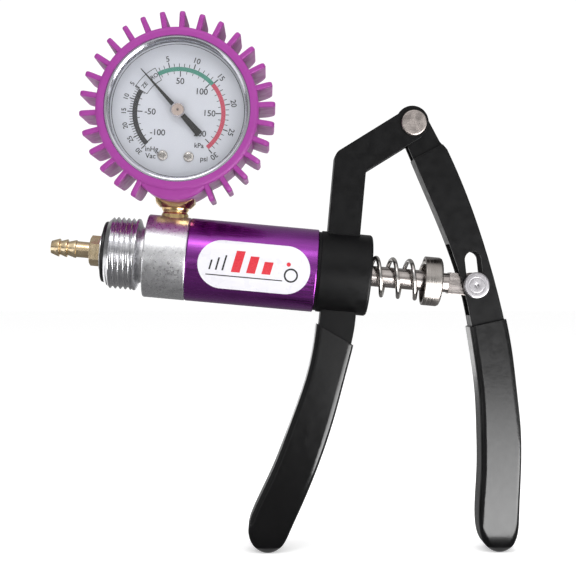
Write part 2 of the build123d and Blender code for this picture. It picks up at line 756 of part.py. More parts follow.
def movement_frame():
    frame = block(FRAME_SPAN, FRAME_FRONT, FRAME_RISE) + block(FRAME_SPAN, FRAME_BACK, FRAME_RISE)
    for place in PILLARS:
        frame += rod_y(FRAME_FRONT[0], FRAME_BACK[1], PILLAR_R, *place)
    for side in (-1, 1):
        place = (side * DIAL_SCREW[0], DIAL_SCREW[1])
        frame += rod_y(DIAL_FRONT + DIAL_THICK, FRAME_FRONT[0], POST_R, *place)
        frame -= rod_y(DIAL_FRONT, FRAME_FRONT[0], DIAL_SCREW_R, *place)
    frame -= rod_y(FRAME_FRONT[0], FRAME_BACK[1], SHAFT_R + SHAFT_FIT)
    return frame - rod_y(FRAME_FRONT[0], FRAME_BACK[1], SECTOR_SHAFT_R + SHAFT_FIT, *sector_pivot())


def bourdon_tube():
    low, high = TUBE_ARC_R
    tube = ring_y(*TUBE_SPAN, high, low)
    far = 40.0
    middle = (TUBE_FROM + TUBE_TO) / 2
    gap = [(0, 0), along((0, 0), TUBE_FROM, far), along((0, 0), middle, far), along((0, 0), TUBE_TO, far)]
    return tube - slab(flat(gap), *TUBE_SPAN)


def sector_tail():
    return along(sector_pivot(), SECTOR_AT, SECTOR_TAIL)


def sector_gear():
    pivot = sector_pivot()
    reach = PINION_R * SECTOR_RATIO - GEAR_GAP
    facing = SECTOR_AT + 180
    disc = rod_y(*SECTOR_SPAN, reach, *pivot)
    wedge = [pivot] + [along(pivot, facing + turn, 2 * reach) for turn in SECTOR_SWEEP]
    sector = disc & slab(flat(wedge), *SECTOR_SPAN)
    sector += rod_y(*SECTOR_SPAN, SECTOR_HUB_R, *pivot)
    tail_half = SECTOR_TAIL_HALF
    tail = [along(pivot, SECTOR_AT, 0, tail_half), along(pivot, SECTOR_AT, 0, -tail_half),
            along(sector_tail(), SECTOR_AT, 0, -tail_half), along(sector_tail(), SECTOR_AT, 0, tail_half)]
    sector += slab(flat(tail), *SECTOR_SPAN) + rod_y(*SECTOR_SPAN, tail_half, *sector_tail())
    return sector + rod_y(FRAME_FRONT[0], FRAME_BACK[1], SECTOR_SHAFT_R, *pivot)


def movement_link():
    """Bent strip from the tube's tip to beside the sector's tail, behind the sector."""
    tip = along((0, 0), TUBE_TO, (TUBE_ARC_R[0] + TUBE_ARC_R[1]) / 2)
    tail = sector_tail()
    half = LINK_HALF
    rail = block((tail[0] - half, tip[0]), LINK_SPAN, (tail[1] - half, tail[1] + half))
    riser = block((tip[0] - 2 * half, tip[0]), (LINK_SPAN[0], TUBE_SPAN[1]),
                  (tail[1] - half, tip[1] - LINK_BELOW_TIP))
    return rail + riser


def pinion():
    shaft = rod_y(POINTER_FRONT, FRAME_BACK[1] + SHAFT_PAST_FRAME, SHAFT_R)
    return shaft + rod_y(*PINION_SPAN, PINION_R - GEAR_GAP)


def gauge_pointer():
    tip, hub, tail = POINTER_HALF_WIDTHS
    blade = [(-tip, POINTER_TIP), (tip, POINTER_TIP), (hub, 0), (tail, -POINTER_TAIL),
             (-tail, -POINTER_TAIL), (-hub, 0)]
    back = POINTER_FRONT + POINTER_THICK
    shape = slab(flat(blade), POINTER_FRONT, back) + rod_y(POINTER_FRONT, back, POINTER_BOSS_R)
    shape -= rod_y(POINTER_FRONT, back, SHAFT_R)
    return Rot(0, -POINTER_REST, 0) * shape


def pointer_hub():
    front = POINTER_FRONT - HUB_THICK
    return turned_y([(POINTER_FRONT, 0), (POINTER_FRONT, HUB_R), (front + HUB_EDGE, HUB_R),
                     (front, HUB_R - HUB_EDGE), (front, 0)])


def hairspring():
    """Flat spiral: two spirals a strip's thickness apart, joined at their ends."""
    steps = range(HAIRSPRING_TURNS * HAIRSPRING_STEPS + 1)
    turns = [step / HAIRSPRING_STEPS for step in steps]
    sides = []
    for shift in (0, HAIRSPRING_THICK):
        points = [along((0, 0), 360 * turn, HAIRSPRING_START + shift + HAIRSPRING_GROWTH * turn)
                  for turn in turns]
        sides.append(Spline(*[(x, 0, z) for x, z in points]))
    inner, outer = sides
    edges = [inner.edge(), outer.edge(), Line(inner @ 0, outer @ 0).edge(), Line(inner @ 1, outer @ 1).edge()]
    return slab(make_face(edges), *HAIRSPRING_SPAN)


def boot_fin():
    """One rounded fin, pointing along +X."""
    inner = BOOT_R - FIN_OVERLAP
    outline = Polyline((inner, FIN_FRONT, 0), (FIN_TIP_R, FIN_FRONT, 0), (FIN_TIP_R, FIN_BACK, 0),
                       (inner, FIN_BACK, 0), close=True)
    face = make_face(outline.edges())
    for y, radius in ((FIN_FRONT, FIN_FRONT_ROUND), (FIN_BACK, FIN_BACK_ROUND)):
        corner = face.vertices().sort_by_distance((FIN_TIP_R, y, 0))[0]
        face = fillet(corner, radius)
    fin = extrude(face, amount=FIN_THICK / 2, dir=(0, 0, 1), both=True)
    rims = fin.edges().filter_by(Axis.Z, reverse=True)
    return fillet(rims.filter_by(lambda edge: edge.center().X > inner + FIN_EDGE / 2), FIN_EDGE)


def rounded_disc(front, radius, z):
    disc = rod_y(front, BOOT_BACK, radius, 0, z)
    return fillet(disc.edges().filter_by(GeomType.CIRCLE).sort_by(Axis.Y)[0], BOOT_ROUND)


def gauge_boot():
    boot = rounded_disc(BOOT_FRONT, BOOT_R, 0) + rounded_disc(CHIN_FRONT, CHIN_R, CHIN_Z)
    fin = boot_fin()
    step = 360 / FIN_PLACES
    for place in range(FIN_MISSING + 1, FIN_PLACES - FIN_MISSING):
        boot += Rot(0, 90 + step * place, 0) * fin
    boot -= rod_y(BOOT_FRONT, BEZEL_FRONT, BOOT_LIP_R)
    boot -= rod_y(BEZEL_FRONT, BEZEL_BACK, BEZEL_R)
    boot -= rod_y(BEZEL_BACK, CASE_BACK, CASE_R)
    boot -= rod_y(CASE_BACK, BOOT_BACK, BOOT_BACK_HOLE_R)
    return boot - block_opening()


PARTS_ON_CYLINDER = [
    hose_barb, barb_washer, front_gasket, cylinder_head, valve_retainer, inlet_valve,
    inlet_valve_spring, barrel_tube, barrel_label, rear_cap, rod_bush, piston_rod, piston,
    piston_seals, piston_nut, exhaust_valve, exhaust_keeper, spring_cup, return_spring,
    fixed_handle, fixed_grip, lever, lever_grip, pivot_pin, rod_pin, pivot_clip, rod_pin_clip]
PARTS_ON_GAUGE = [
    gauge_socket, gauge_case, gauge_bezel, gauge_window, gauge_dial, dial_screws,
    movement_frame, bourdon_tube, sector_gear, movement_link, pinion, gauge_pointer,
    pointer_hub, hairspring, gauge_boot]

os.makedirs("parts", exist_ok=True)
for part in PARTS_ON_CYLINDER:
    export_step(part(), f"parts/{part.__name__}.step")
for part in PARTS_ON_GAUGE:
    export_step(on_gauge(part()), f"parts/{part.__name__}.step")
for name, x in (("head_o_ring", HEAD_RING_X), ("cap_o_ring", CAP_RING_X)):
    export_step(o_ring(x), f"parts/{name}.step")
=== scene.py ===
"""Looks for the hand vacuum pump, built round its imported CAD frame.

Blender works in metres. The sizes below are millimetres of the shared frame and
are scaled by MM where a mesh is made. The cylinder's axis is X, the gauge
stands along +Z, and the dial faces -Y.
"""
import json
from math import cos, radians, sin, sqrt, tan, tau

import bmesh
import bpy
from mathutils import Euler, Matrix, Vector

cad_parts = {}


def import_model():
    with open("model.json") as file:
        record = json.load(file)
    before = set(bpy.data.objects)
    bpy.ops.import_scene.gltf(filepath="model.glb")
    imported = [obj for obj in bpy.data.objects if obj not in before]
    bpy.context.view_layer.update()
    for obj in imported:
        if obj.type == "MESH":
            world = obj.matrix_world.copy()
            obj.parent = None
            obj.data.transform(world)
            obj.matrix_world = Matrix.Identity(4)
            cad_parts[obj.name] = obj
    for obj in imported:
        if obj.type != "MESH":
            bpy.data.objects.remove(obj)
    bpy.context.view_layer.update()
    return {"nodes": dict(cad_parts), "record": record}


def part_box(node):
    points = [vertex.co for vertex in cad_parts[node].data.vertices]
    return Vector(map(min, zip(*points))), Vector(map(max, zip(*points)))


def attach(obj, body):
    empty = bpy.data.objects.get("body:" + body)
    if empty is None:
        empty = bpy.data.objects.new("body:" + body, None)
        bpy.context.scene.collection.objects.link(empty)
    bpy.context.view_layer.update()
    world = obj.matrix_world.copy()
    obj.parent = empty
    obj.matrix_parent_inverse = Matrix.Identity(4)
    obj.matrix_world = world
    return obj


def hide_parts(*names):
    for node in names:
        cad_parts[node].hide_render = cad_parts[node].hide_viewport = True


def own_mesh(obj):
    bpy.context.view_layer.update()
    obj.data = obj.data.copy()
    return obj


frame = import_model()

MM = 0.001

# Points closer than this, in metres, become one; edges past this angle stay sharp
MERGE = 1e-7
SHARP_ANGLE = 35.0

# Cylinder head, bored and threaded about X
COLLAR_R = 13.0
COLLAR_FACE_R = 11.0
COLLAR_END = 11.4
NECK_R = 10.0
NECK_SPAN = (12.45, 14.2)
BARREL_R = 15.0
SPIGOT_R = 13.0
TUBE_START = 29.5
SPIGOT_END = 36.5
RING_GROOVE = (31.8, 34.2, 11.2)
STUD_HOLE = (9.0, 4.86)
VALVE_SEAT = (26.5, 2.5)
VALVE_CHAMBER = (33.0, 4.2)
RETAINER_R = 5.0
THREAD_SPAN = (0.5, 10.6)
THREAD_PITCH = 1.84
THREAD_PHASE = 0.484
THREAD_DEPTH = 0.95
THREAD_FADE = 0.5
THREAD_POWER = 0.8
COLLAR_EDGE = 0.2
COLLAR_BACK_EDGE = 0.3
COLLAR_STEP = 0.1
HEAD_ROUND = 0.6
PORT_R = 4.86
PORT_SPAN = (-6.5, 3.0)

# Springs: first and last place of the wire's centre along X; each end has closed turns
TURN_STEPS = 48
WIRE_SIDES = 12
CLOSED_TURNS = 0.75
CLOSED_BLEND = 0.3
RETURN_SPAN = (93.6, 118.7)
RETURN_R = 6.75
RETURN_WIRE = 0.8
RETURN_TURNS = 5.2
RETURN_PHASE = 0.83
VALVE_SPAN = (28.8, 32.75)
VALVE_R = 2.6
VALVE_WIRE = 0.25
VALVE_TURNS = 4.5

# Pins, turned about Y; places are (X, Z), marks on a head are (depth, radius)
PIVOT = (106.0, 56.1)
PIVOT_HEAD_R = 4.6
PIVOT_SHANK_R = 3.0
PIVOT_CHAMFER = (0.35, 0.3)
ROD_PIN = (133.7, 0.0)
ROD_HEAD_R = 4.7
ROD_SHANK_R = 2.5
ROD_CHAMFER = (0.3, 0.4)
HEAD_THICK = 1.7
PIN_ROUND = 0.35
PUNCH_MARK = ((0.45, 0.0), (0.3, 0.35), (0.0, 0.7))
RING_MARK = ((0.0, 2.6), (0.06, 2.75), (0.0, 2.9))

# Gauge, about its own centre
GAUGE_CENTRE = (23.3, 0.0, 15.0)
GAUGE_HEIGHT = 36.7
GAUGE_LEAN = -2.0
CASE_R = 25.0
RING_R = 26.5
RING_OPENING_R = 23.9
RING_BACK = -12.5
RING_FRONT = -17.3
WINDOW_FRONT = -16.0
RING_CUT = 0.8
RING_OUTER_DROP = 0.9
RING_INNER_DROP = 0.6
RING_ROUND = 0.5
DIAL_FRONT = -11.5
PRINT_THICK = 0.03
SCALE_R = 15.6
BLACK_WIDTH = 1.7
COLOUR_WIDTH = 1.5
ZERO_ANGLE = -45.5
PSI_STEP = 6.1
INHG_STEP = -3.03
SCALE_TOP = 30
GREEN_TOP = 15
KPA_PER_PSI = 6.895
KPA_PER_INHG = 3.386
TICK_R = 16.4
NUMERAL_R = 19.4
KPA_R = 11.6
KPA_VACUUM_R = 10.2
KPA_PER_INWARD_MM = 150
PSI_SIZE = 2.7
INHG_SIZE = 2.3
KPA_SIZE = 3.0
SCALE_SHIFT = (0.4, -0.95)
RIM_LINE = (23.3, 23.5)
ARC_STEP = 4

# Ticks of the scales: length, width
LONG_TICK = (1.8, 0.38)
SHORT_TICK = (1.15, 0.24)
INNER_GAP = 0.8
LONG_INNER_TICK = (1.9, 0.36)
SHORT_INNER_TICK = (0.9, 0.22)

# Box round the zero mark: its sides' angles, half height, line and lettering
ZERO_BOX = (-62.0, -31.0)
ZERO_HALF = 2.4
ZERO_LINE = 0.22
ZERO_SIZE = 2.0
ZERO_INSET = (8, -6)

# Units on the dial: size, place
UNITS = {
    "inHg": (2.5, (-9.0, -13.2)),
    "Vac": (2.5, (-9.2, -15.6)),
    "kPa": (2.4, (7.6, -11.0)),
    "psi": (2.5, (9.6, -15.6)),
}

# Dial screws: heights are along the gauge's axis, where the front is -Y
SCREW_PLACE = (4.6, -16.1)
SCREW_TOP = -12.3
SCREW_SIDE = -11.9
SCREW_END = -9.4
SCREW_FLAT_R = 1.1
SCREW_HEAD_R = 1.85
SCREW_SHANK_R = 1.0
SCREW_ROUND = 0.3
RECESS_HALF = (1.15, 0.22)
RECESS_SPAN = (-13.0, -11.95)
RECESS_TURN = 25

# Rim and dot on the pointer's hub: they stand on its face and narrow by their slope
HUB_CENTRE = (22.02, -14, 51.68)
HUB_FACE = -14.05
HUB_RIM = (2.1, 2.6)
HUB_RIM_HEIGHT = 0.2
HUB_RIM_SLOPE = 0.1
HUB_RIM_ROUND = 0.05
HUB_DOT_R = 0.28
HUB_DOT_HEIGHT = 0.07
HUB_DOT_SLOPE = 0.06

# Faces of a box whose corners run through X, then Y, then Z
BOX_FACES = [(0, 1, 3, 2), (4, 6, 7, 5), (0, 4, 5, 1), (2, 3, 7, 6), (0, 2, 6, 4), (1, 5, 7, 3)]

# Label on the tube, and its mark: places are (across, up) from the label's middle
LABEL_X = 53.6
LABEL_Z = -0.9
LABEL_R = 15.12
MARK_SLANT = 0.2
BAR_COUNT = 3
BAR_PLACE = (-5.6, 1.4)
BAR_STEP = (5.2, -0.7)
BAR_SIZE = (3.1, 7.6)
BAR_SHRINK = 1.6
STROKE_COUNT = 3
STROKE_PLACE = (-15.2, -0.4)
STROKE_STEP = (2.4, 0.5)
STROKE_SIZE = (0.6, 3.4)
STROKE_GROWTH = 1.0
RULE_PLACE = (-3.2, -3.9)
RULE_SIZE = (27.0, 0.35)
DOT_PLACE = (12.1, 2.0)
DOT_R = 0.75
CIRCLE_PLACE = (13.2, -1.8)
CIRCLE_LINE = (1.9, 2.5)

# Floor, the cards over it that only show in reflections, and the camera
FLOOR_POINT = (67.0, -102.7)
FLOOR_TILT = 5.2
FLOOR_HALF = 4000.0
FLOOR_GLOW = 0.47
FELT_ACROSS = (-160.0, 900.0)
FELT_ALONG = (-900.0, 500.0)
FELT_ABOVE = 2.0
GLOW_ACROSS = (128.0, 460.0)
GLOW_ALONG = (-700.0, -20.0)
GLOW_ABOVE = 3.0
GLOW_FAR = 2.0
GLOW_NEAR = 11.0
CAMERA_AT = (59.154, -421.933, -6.817)
CAMERA_TURN = (89.961, -5.193, -0.987)
CAMERA_LENS = 72.58

# Lamps: place, size, power, whether it shows in reflections
LAMPS = {
    "key": ((-150, -600, 650), (500, 250), 1.3, True),
    "fill": ((500, -500, 250), (250, 500), 0.5, False),
    "top": ((80, -40, 800), (350, 350), 2.8, False),
    "back": ((100, 700, 500), (900, 300), 0.6, False),
}
LAMP_TARGET = (60, 0, -10)

# How bright the room is, for light and reflections: degrees round X from the near horizon, up and over
ROOM = (
    (-180, 0.5), (-12, 0.5), (16, 0.5), (26, 1.1), (78, 0.9), (98, 0.4), (150, 0.3), (180, 0.5))
# How much of that shows, from straight ahead to the left and right
SIDES = ((0.0, 1.0), (0.55, 1.0), (0.75, 0.45), (1.0, 0.55))
BACKDROP = 1.05


# ----------------------------------------------------------------- materials
def linear(level):
    """Amount of light for a level of 0 to 255 on the sRGB curve."""
    level /= 255
    return level / 12.92 if level <= 0.04045 else ((level + 0.055) / 1.055) ** 2.4


def shade(red, green, blue):
    return (linear(red), linear(green), linear(blue), 1.0)


class Finish:
    """A principled material whose patterns are laid out in millimetres of the frame."""

    def __init__(self, name, colour, roughness, **sockets):
        self.material = bpy.data.materials.new(name)
        self.material.use_nodes = True
        self.tree = self.material.node_tree
        self.shader = self.tree.nodes["Principled BSDF"]
        self.colour = shade(*colour)
        self.shader.inputs["Base Color"].default_value = self.colour
        self.shader.inputs["Roughness"].default_value = roughness
        for socket, value in sockets.items():
            self.shader.inputs[socket.replace("_", " ")].default_value = value

    def add(self, kind, **inputs):
        node = self.tree.nodes.new("ShaderNode" + kind)
        for name, value in inputs.items():
            node.inputs[name].default_value = value
        return node

    def join(self, output, socket):
        self.tree.links.new(output, socket)

    def spots(self, size, stretch=(1, 1, 1), detail=3.0):
        """Noise whose features are about that many millimetres, stretched along X, Y, Z."""
        where = self.add("TexCoord")
        scaled = self.add("Mapping")
        scaled.inputs["Scale"].default_value = [1 / (MM * size * s) for s in stretch]
        noise = self.add("TexNoise", Scale=1.0, Detail=detail)
        self.join(where.outputs["Object"], scaled.inputs["Vector"])
        self.join(scaled.outputs["Vector"], noise.inputs["Vector"])
        return noise.outputs["Fac"]

    def lathe_marks(self, size, about="X", centre=(0, 0, 0)):
        """Fine rings about an axis, as a turning tool leaves."""
        where = self.add("TexCoord")
        moved = self.add("VectorMath")
        moved.operation = "SUBTRACT"
        moved.inputs[1].default_value = [MM * c for c in centre]
        parts = self.add("SeparateXYZ")
        across = self.add("CombineXYZ")
        length = self.add("VectorMath")
        length.operation = "LENGTH"
        place = self.add("CombineXYZ")
        scaled = self.add("Mapping")
        scaled.inputs["Scale"].default_value = [1 / (MM * size)] * 3
        noise = self.add("TexNoise", Scale=1.0, Detail=2.0)
        self.join(where.outputs["Object"], moved.inputs[0])
        self.join(moved.outputs["Vector"], parts.inputs["Vector"])
        others = [axis for axis in "XYZ" if axis != about]
        self.join(parts.outputs[others[0]], across.inputs["X"])
        self.join(parts.outputs[others[1]], across.inputs["Y"])
        self.join(across.outputs["Vector"], length.inputs[0])
        self.join(parts.outputs[about], place.inputs["X"])
        self.join(length.outputs["Value"], place.inputs["Y"])
        self.join(place.outputs["Vector"], scaled.inputs["Vector"])
        self.join(scaled.outputs["Vector"], noise.inputs["Vector"])
        return noise.outputs["Fac"]

    def between(self, pattern, low, high, start=0.35, end=0.65):
        """The pattern's middle stretch spread from low to high."""
        spread = self.add("MapRange")
        values = {"From Min": start, "From Max": end, "To Min": low, "To Max": high}
        for name, value in values.items():
            spread.inputs[name].default_value = value
        self.join(pattern, spread.inputs["Value"])
        return spread.outputs["Result"]

    def stain(self, pattern, colour, most=1.0, start=0.4, end=0.65):
        """Lets another colour through where the pattern is high."""
        mix = self.add("Mix")
        mix.data_type = "RGBA"
        base = self.shader.inputs["Base Color"]
        first, second = mix.inputs[6], mix.inputs[7]
        if base.is_linked:
            self.join(base.links[0].from_socket, first)
        else:
            first.default_value = self.colour
        second.default_value = shade(*colour)
        self.join(self.between(pattern, 0.0, most, start, end), mix.inputs[0])
        self.join(mix.outputs[2], base)
        return self

    def past(self, start, end, before, after):
        """A value that changes between two places along X, from one number to a pattern."""
        where = self.add("TexCoord")
        parts = self.add("SeparateXYZ")
        self.join(where.outputs["Object"], parts.inputs["Vector"])
        mix = self.add("Mix")
        mix.inputs[2].default_value = before
        self.join(self.between(parts.outputs["X"], 0.0, 1.0, start * MM, end * MM), mix.inputs[0])
        self.join(after, mix.inputs[3])
        return mix.outputs[0]

    def polish(self, pattern, low, high):
        self.join(self.between(pattern, low, high), self.shader.inputs["Roughness"])
        return self

    def relief(self, pattern, depth):
        """Raises the surface by up to that many millimetres where the pattern is high."""
        bump = self.add("Bump", Strength=1.0, Distance=depth * MM)
        normal = self.shader.inputs["Normal"]
        if normal.is_linked:
            self.join(normal.links[0].from_socket, bump.inputs["Normal"])
        self.join(pattern, bump.inputs["Height"])
        self.join(bump.outputs["Normal"], normal)
        return self


def metal(name, colour, roughness, worn, grain=0.5, depth=0.01, stretch=(1, 1, 1)):
    """Bare metal with cloudy roughness, fine grain and a darker stain."""
    finish = Finish(name, colour, roughness, Metallic=1.0)
    clouds = finish.spots(6.0)
    fine = finish.spots(grain, stretch)
    finish.stain(clouds, worn, 0.55)
    finish.polish(finish.spots(2.5, stretch), roughness * 0.75, roughness * 1.35)
    return finish.relief(fine, depth)


def moulded(name, colour, roughness, paler, grain=0.6, depth=0.012, **sockets):
    """Plastic, rubber or paint: soft colour drift, uneven gloss and a skin texture."""
    finish = Finish(name, colour, roughness, **sockets)
    finish.stain(finish.spots(9.0), paler, 0.5)
    finish.polish(finish.spots(3.0), roughness * 0.85, roughness * 1.2)
    return finish.relief(finish.spots(grain), depth)


def turned_metal(name, colour, roughness, worn, about="X", centre=(0, 0, 0), pitch=0.12, depth=0.006):
    """Metal off the lathe: fine rings about its axis in relief, gloss and stain."""
    finish = Finish(name, colour, roughness, Metallic=1.0)
    rings = finish.lathe_marks(pitch, about, centre)
    finish.stain(finish.spots(4.0), worn, 0.5)
    finish.polish(finish.lathe_marks(0.9, about, centre), roughness * 0.7, roughness * 1.4)
    return finish.relief(rings, depth)


def satin_aluminium():
    """Blasted aluminium with a fine sparkle; the collar and its thread are smoother."""
    finish = Finish("head_aluminium", (224, 224, 226), 0.34, Metallic=1.0)
    sparkle = finish.spots(0.35, detail=1.0)
    finish.stain(finish.spots(2.2), (190, 190, 196), 0.35)
    finish.stain(sparkle, (250, 250, 252), 0.6, 0.55, 0.7)
    rough = finish.between(finish.spots(0.8), 0.26, 0.42)
    gloss = finish.past(THREAD_SPAN[1], NECK_SPAN[0], 0.17, rough)
    finish.join(gloss, finish.shader.inputs["Roughness"])
    blasted = finish.past(THREAD_SPAN[1], NECK_SPAN[0], 0.0, finish.spots(0.6))
    finish.relief(blasted, 0.025)
    return finish.relief(sparkle, 0.02)


def anodised_tube():
    """Drawn tube, dyed violet: fine lines along X under a clear oxide skin."""
    finish = Finish(
        "anodised_purple", (150, 64, 164), 0.25, Metallic=1.0, Coat_Weight=0.25, Coat_Roughness=0.12)
    drawn = finish.spots(0.3, (40, 1, 1))
    finish.stain(finish.spots(5.0, (6, 1, 1)), (124, 50, 138), 0.6)
    finish.polish(finish.spots(0.9, (20, 1, 1)), 0.2, 0.32)
    return finish.relief(drawn, 0.006)


def drawn_steel():
    """The piston rod's bright steel: faint clouds and fine lines along X."""
    finish = Finish("rod_steel", (178, 171, 168), 0.2, Metallic=1.0)
    finish.stain(finish.spots(3.0), (158, 150, 146), 0.6)
    finish.polish(finish.spots(1.2, (8, 1, 1)), 0.14, 0.3)
    return finish.relief(finish.spots(0.4, (10, 1, 1)), 0.006)


def lens():
    """Clear window that lets shadow and diffuse rays through, so that the dial is lit."""
    finish = Finish("clear_lens", (255, 255, 255), 0.03, Transmission_Weight=1.0, IOR=1.45)
    finish.polish(finish.spots(8.0), 0.015, 0.05)
    clear = finish.add("BsdfTransparent")
    mix = finish.add("MixShader")
    path = finish.add("LightPath")
    either = finish.add("Math")
    either.operation = "MAXIMUM"
    output = finish.tree.nodes["Material Output"]
    finish.join(path.outputs["Is Shadow Ray"], either.inputs[0])
    finish.join(path.outputs["Is Diffuse Ray"], either.inputs[1])
    finish.join(either.outputs["Value"], mix.inputs["Fac"])
    finish.join(finish.shader.outputs["BSDF"], mix.inputs[1])
    finish.join(clear.outputs["BSDF"], mix.inputs[2])
    finish.join(mix.outputs["Shader"], output.inputs["Surface"])
    return finish


def printed(name, colour):
    """Printing ink with slightly uneven cover."""
    finish = Finish(name, colour, 0.45)
    lighter = [min(255, level + 24) for level in colour]
    finish.stain(finish.spots(0.5), lighter, 0.5)
    return finish.relief(finish.spots(0.25), 0.003)


FINISHES = {
    "brass": turned_metal("brass", (242, 222, 186), 0.22, (204, 172, 120)),
    "bronze": metal("bronze", (176, 122, 72), 0.35, (120, 80, 48)),
    "head_aluminium": satin_aluminium(),
    "anodised_purple": anodised_tube(),
    "black_rubber": moulded("black_rubber", (16, 16, 17), 0.3, (30, 30, 31), 0.4, 0.01),
    "label_film": moulded(
        "label_film", (232, 231, 237), 0.3, (225, 224, 231), 0.8, 0.004, Coat_Weight=0.3),
    "cap_plastic": moulded(
        "cap_plastic", (9, 9, 10), 0.42, (15, 15, 16), 0.35, 0.01, Specular_IOR_Level=0.15),
    "black_steel": moulded(
        "black_steel", (7, 7, 8), 0.36, (12, 12, 13), 0.5, 0.006, Specular_IOR_Level=0.18),
    "grip_vinyl": moulded(
        "grip_vinyl", (4, 4, 5), 0.2, (8, 8, 9), 1.6, 0.02, Specular_IOR_Level=0.3,
        Coat_Weight=0.25, Coat_Roughness=0.1),
    "polished_steel": drawn_steel(),
    "pin_steel": metal("pin_steel", (163, 155, 151), 0.34, (147, 139, 135), 0.5, 0.015),
    "spring_steel": metal("spring_steel", (204, 199, 194), 0.18, (128, 128, 134), 0.3, 0.004),
    "chrome": metal("chrome", (206, 206, 214), 0.12, (186, 186, 196), 0.6, 0.002),
    "clear_lens": lens(),
    "dial_white": moulded("dial_white", (199, 202, 210), 0.5, (194, 197, 206), 0.6, 0.004),
    "pointer_black": moulded("pointer_black", (14, 14, 15), 0.4, (28, 28, 30), 0.3, 0.004),
    "case_steel": metal("case_steel", (150, 150, 156), 0.3, (132, 132, 138)),
    "boot_purple": moulded(
        "boot_purple", (155, 62, 147), 0.38, (161, 70, 154), 0.5, 0.012, Specular_IOR_Level=0.18),
    "piston_plastic": moulded("piston_plastic", (52, 52, 56), 0.4, (70, 70, 74)),
}
INK_BLACK = printed("ink_black", (34, 34, 38))
INK_GREEN = printed("ink_green", (60, 128, 112))
INK_RED = printed("ink_red", (178, 62, 84))
LABEL_BLACK = printed("label_ink_black", (18, 17, 20))
LABEL_RED = printed("label_ink_red", (206, 24, 44))
HUB_METAL = turned_metal(
    "hub_metal", (212, 196, 188), 0.3, (186, 168, 160), "Y", HUB_CENTRE, 0.2)
RIVET_METAL = turned_metal(
    "rivet_metal", (154, 152, 155), 0.4, (132, 130, 133), "Y", (ROD_PIN[0], 0, ROD_PIN[1]), 0.25, 0.012)
SCREW_METAL = metal("screw_metal", (196, 192, 188), 0.22, (120, 114, 110), 0.4, 0.01)
SOCKET_BRASS = metal("socket_brass", (232, 202, 146), 0.2, (200, 164, 112), 0.6, 0.006)
CUP_METAL = turned_metal("cup_metal", (160, 155, 151), 0.26, (132, 126, 122), depth=0.01)


def paint_nodes():
    """Each CAD node gets its slot's finish; three nodes get one of their own."""
    for part in frame["record"]["subparts"]:
        node = frame["nodes"][part["node"]]
        node.data.materials.clear()
        node.data.materials.append(FINISHES[part["material_slot"]].material)
    own = {"spring_cup": CUP_METAL, "pointer_hub": HUB_METAL, "gauge_socket": SOCKET_BRASS}
    for name, finish in own.items():
        frame["nodes"][name].data.materials[0] = finish.material


# ------------------------------------------------------------------- meshes
def outward(name, points, faces, merge=0.0):
    """A mesh from points in millimetres of the frame, with its faces turned outwards."""
    mesh = bpy.data.meshes.new(name)
    mesh.from_pydata([Vector(point) * MM for point in points], [], faces)
    work = bmesh.new()
    work.from_mesh(mesh)
    if merge:
        bmesh.ops.remove_doubles(work, verts=work.verts, dist=merge)
    bmesh.ops.recalc_face_normals(work, faces=work.faces)
    work.to_mesh(mesh)
    work.free()
    return mesh


def smooth(mesh):
    mesh.shade_smooth()
    mesh.set_sharp_from_angle(angle=radians(SHARP_ANGLE))


def build(name, points, faces, finish, body):
    """A piece from points in millimetres of the frame, parented to an empty named for its body."""
    mesh = outward(name, points, faces, MERGE)
    smooth(mesh)
    mesh.materials.append(finish.material)
    piece = bpy.data.objects.new(name, mesh)
    bpy.context.scene.collection.objects.link(piece)
    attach(piece, body)
    return piece


def rounded(outline, radius, steps=3, closed=True):
    """An outline with each corner cut by a short curve; ends of an open one stay."""
    result = []
    for index, corner in enumerate(outline):
        if not closed and index in (0, len(outline) - 1):
            result.append(corner)
            continue
        corner = Vector(corner)
        before = Vector(outline[index - 1]) - corner
        after = Vector(outline[(index + 1) % len(outline)]) - corner
        cut = min(radius, before.length / 2, after.length / 2)
        start, end = before.normalized() * cut, after.normalized() * cut
        for step in range(steps + 1):
            t = step / steps
            result.append(tuple(corner + start * (1 - t) ** 2 + end * t ** 2))
    return result


def revolve(profile, closed, steps=96, radius_at=None):
    """Turns (distance, radius) points about X. A closed profile gives a ring."""
    points, rings, faces = [], [], []
    for distance, radius in profile:
        if radius <= 0:
            rings.append([len(points)] * steps)
            points.append((distance, 0.0, 0.0))
            continue
        rings.append(range(len(points), len(points) + steps))
        for step in range(steps):
            turn = step / steps
            r = radius_at(distance, radius, turn) if radius_at else radius
            points.append((distance, r * cos(tau * turn), r * sin(tau * turn)))
    following = rings[1:] + rings[:1] if closed else rings[1:]
    for first, second in zip(rings, following):
        for step in range(steps):
            after = (step + 1) % steps
            corners = (first[step], first[after], second[after], second[step])
            corners = list(dict.fromkeys(corners))
            if len(corners) > 2:
                faces.append(corners)
    return points, faces


def about_y(points, place):
    """Points turned about X, stood on an axis along Y at (X, Z)."""
    return [(place[0] - y, x, place[1] + z) for x, y, z in points]


def carve(piece, points, faces):
    """Cuts a closed mesh out of a piece and keeps the result in its mesh."""
    tool = bpy.data.objects.new("cutter", outward("cutter", points, faces))
    bpy.context.scene.collection.objects.link(tool)
    cut = piece.modifiers.new("cut", "BOOLEAN")
    cut.operation = "DIFFERENCE"
    cut.object = tool
    depsgraph = bpy.context.evaluated_depsgraph_get()
    result = bpy.data.meshes.new_from_object(piece.evaluated_get(depsgraph))
    piece.modifiers.clear()
    piece.data = result
    smooth(result)
    bpy.data.objects.remove(tool)


def gauge_matrix():
    """From the gauge's own place, with its centre at the origin, to the frame."""
    up = Matrix.Translation((0, 0, GAUGE_HEIGHT))
    lean = Matrix.Rotation(radians(GAUGE_LEAN), 4, "Y")
    return Matrix.Translation(GAUGE_CENTRE) @ lean @ up


